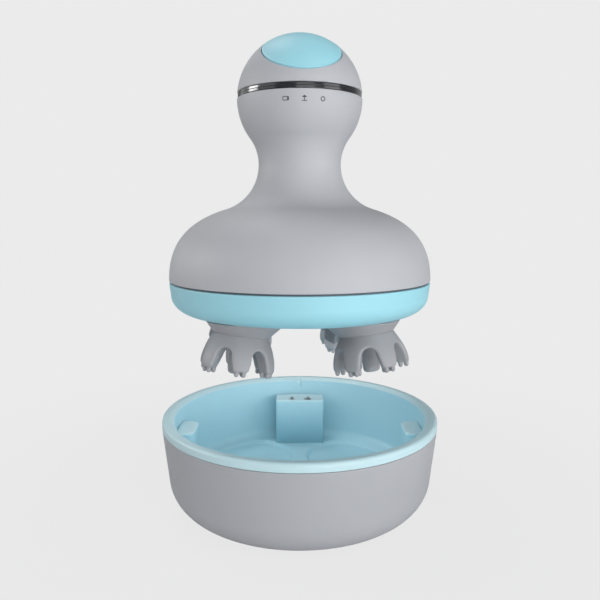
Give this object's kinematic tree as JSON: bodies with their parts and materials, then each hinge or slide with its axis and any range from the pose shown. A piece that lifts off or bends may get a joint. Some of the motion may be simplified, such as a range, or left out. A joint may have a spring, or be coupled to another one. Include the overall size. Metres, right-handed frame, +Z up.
{
  "type": "electric scalp massager with charging dock",
  "caption": "Palm-held scalp massager with a round grip and turning soft claw heads, lifted above a round dock with charging pins and a lined storage bowl.",
  "frame": {"origin": "on the table at the centre of the dock, under its rubber feet", "axes": "+Z up along the axis of dock and massager, the front with the power button faces -Y, +X to the right seen from the front"},
  "size_m": [0.1324, 0.1324, 0.2213],
  "materials": {
    "housing": "warm light grey, soft satin",
    "trim": "near black, satin",
    "button": "sky blue, soft gloss",
    "ring": "sky blue, soft gloss",
    "under_plate": "grey, matte",
    "silicone": "grey silicone, matte",
    "steel": "plain steel",
    "inner_plastic": "black, moulded",
    "gear_plastic": "natural acetal",
    "light": "clear diffuser",
    "board": "green solder mask",
    "cell": "wrapped cell",
    "bushing": "sintered bronze",
    "contact": "gold-plated contacts",
    "seal": "black rubber",
    "foot": "black rubber",
    "dock_shell": "warm light grey, satin",
    "dock_lining": "sky blue, soft gloss"
  },
  "bodies": {
    "dock": {"dock_bowl": "dock_shell", "dock_liner": "dock_lining", "contact_block": "dock_lining", "pin_barrels": "contact", "pin_spring_left": "steel", "pin_spring_right": "steel", "dock_board": "board", "charge_socket": "steel", "dock_screws": "steel", "dock_feet": "foot"},
    "massager": {"body_shell": "housing", "crown_shell": "housing", "trim_band": "trim", "tact_switch": "inner_plastic", "switch_bracket": "inner_plastic", "control_board": "board", "indicator_board": "board", "light_guides": "light", "battery_cell": "cell", "battery_cradle": "inner_plastic", "motor_can": "steel", "reduction_gearbox": "inner_plastic", "gear_deck": "steel", "spindle_bushings": "bushing", "shaft_seals": "seal", "head_collar_1": "silicone", "head_collar_2": "silicone", "head_collar_3": "silicone", "head_collar_4": "silicone", "lower_ring": "ring", "seam_gasket": "trim", "bottom_plate": "under_plate", "contact_pads": "contact", "housing_screws": "steel", "deck_screws": "steel", "motor_screws": "steel"},
    "button": {"power_button": "button", "switch_stem": "steel"},
    "drive": {"drive_shaft": "steel", "sun_gear": "gear_plastic"},
    "pin_left": {"contact_pin_left": "contact"},
    "pin_right": {"contact_pin_right": "contact"},
    "claw_1": {"claw_gear_1": "gear_plastic", "claw_spindle_1": "steel", "claw_head_1": "silicone"},
    "claw_2": {"claw_gear_2": "gear_plastic", "claw_spindle_2": "steel", "claw_head_2": "silicone"},
    "claw_3": {"claw_gear_3": "gear_plastic", "claw_spindle_3": "steel", "claw_head_3": "silicone"},
    "claw_4": {"claw_gear_4": "gear_plastic", "claw_spindle_4": "steel", "claw_head_4": "silicone"}
  },
  "joints": [
    {"name": "dock_lift", "type": "slide", "parent": "dock", "child": "massager", "axis": [0, 0, 1], "range_m": [-0.0585, 0.02]},
    {"name": "button_press", "type": "slide", "parent": "massager", "child": "button", "axis": [-0.0405, 0.5793, -0.8141], "range_m": [0, 0.0009], "stiffness_N_per_m": 1500, "springref_m": -0.0004},
    {"name": "claw_1_spin", "type": "hinge", "parent": "massager", "child": "claw_1", "pos_m": [-0.0246, -0.0283, 0.09535], "axis": [0.1364, 0.1569, 0.9781], "continuous": true},
    {"name": "claw_2_spin", "type": "hinge", "parent": "massager", "child": "claw_2", "pos_m": [0.0283, -0.0246, 0.09535], "axis": [-0.1569, 0.1364, 0.9781], "continuous": true},
    {"name": "claw_3_spin", "type": "hinge", "parent": "massager", "child": "claw_3", "pos_m": [0.0246, 0.0283, 0.09535], "axis": [-0.1364, -0.1569, 0.9781], "continuous": true},
    {"name": "claw_4_spin", "type": "hinge", "parent": "massager", "child": "claw_4", "pos_m": [-0.0283, 0.0246, 0.09535], "axis": [0.1569, -0.1364, 0.9781], "continuous": true},
    {"name": "drive_spin", "type": "hinge", "parent": "massager", "child": "drive", "pos_m": [0, 0, 0.10301], "axis": [0, 0, 1], "continuous": true},
    {"name": "contact_pin_left_press", "type": "slide", "parent": "dock", "child": "pin_left", "axis": [0, 0, -1], "range_m": [0, 0.0012], "stiffness_N_per_m": 500, "springref_m": -0.0006, "deforming": ["pin_spring_left"]},
    {"name": "contact_pin_right_press", "type": "slide", "parent": "dock", "child": "pin_right", "axis": [0, 0, -1], "range_m": [0, 0.0012], "stiffness_N_per_m": 500, "springref_m": -0.0006, "deforming": ["pin_spring_right"]}
  ],
  "couplings": [
    {"joint": "claw_2_spin", "follows": "claw_1_spin", "ratio": 1},
    {"joint": "claw_3_spin", "follows": "claw_1_spin", "ratio": 1},
    {"joint": "claw_4_spin", "follows": "claw_1_spin", "ratio": 1},
    {"joint": "drive_spin", "follows": "claw_1_spin", "ratio": -0.4}
  ]
}
